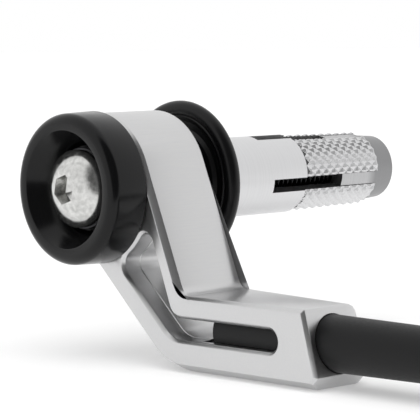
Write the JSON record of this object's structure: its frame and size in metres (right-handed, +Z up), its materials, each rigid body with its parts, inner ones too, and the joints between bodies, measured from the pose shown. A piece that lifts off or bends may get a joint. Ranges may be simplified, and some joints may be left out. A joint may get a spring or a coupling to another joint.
{
  "type": "brake lever guard",
  "caption": "Handlebar-end brake lever guard: bar end weight, milled windowed arm, bent rod in front of the lever, and an expander that grips inside the handlebar.",
  "frame": {"origin": "on the bar axis, at the adapter's rear face, where the end of the handlebar butts", "axes": "+X along the bar axis into the handlebar, +Z up with the rod axis below the bar axis, the rod leaves the arm along -Y"},
  "size_m": [0.1284, 0.1324, 0.0464],
  "materials": {
    "black_anodised": "gloss black anodised",
    "bolt_steel": "zinc plated, worn",
    "washer_steel": "dark plated",
    "arm_aluminium": "satin silver anodised",
    "rod_plastic": "satin black",
    "grub_steel": "black oxide",
    "sleeve_aluminium": "turned and knurled",
    "cone_aluminium": "turned"
  },
  "bodies": {
    "root": {"bar_end_weight": "black_anodised", "clamp_bolt": "bolt_steel", "bolt_washer": "washer_steel", "guard_arm": "arm_aluminium", "guard_rod": "rod_plastic", "rod_grub_screw": "grub_steel", "adapter_flange": "black_anodised", "expander_sleeve": "sleeve_aluminium", "expander_cone": "cone_aluminium"}
  },
  "joints": []
}
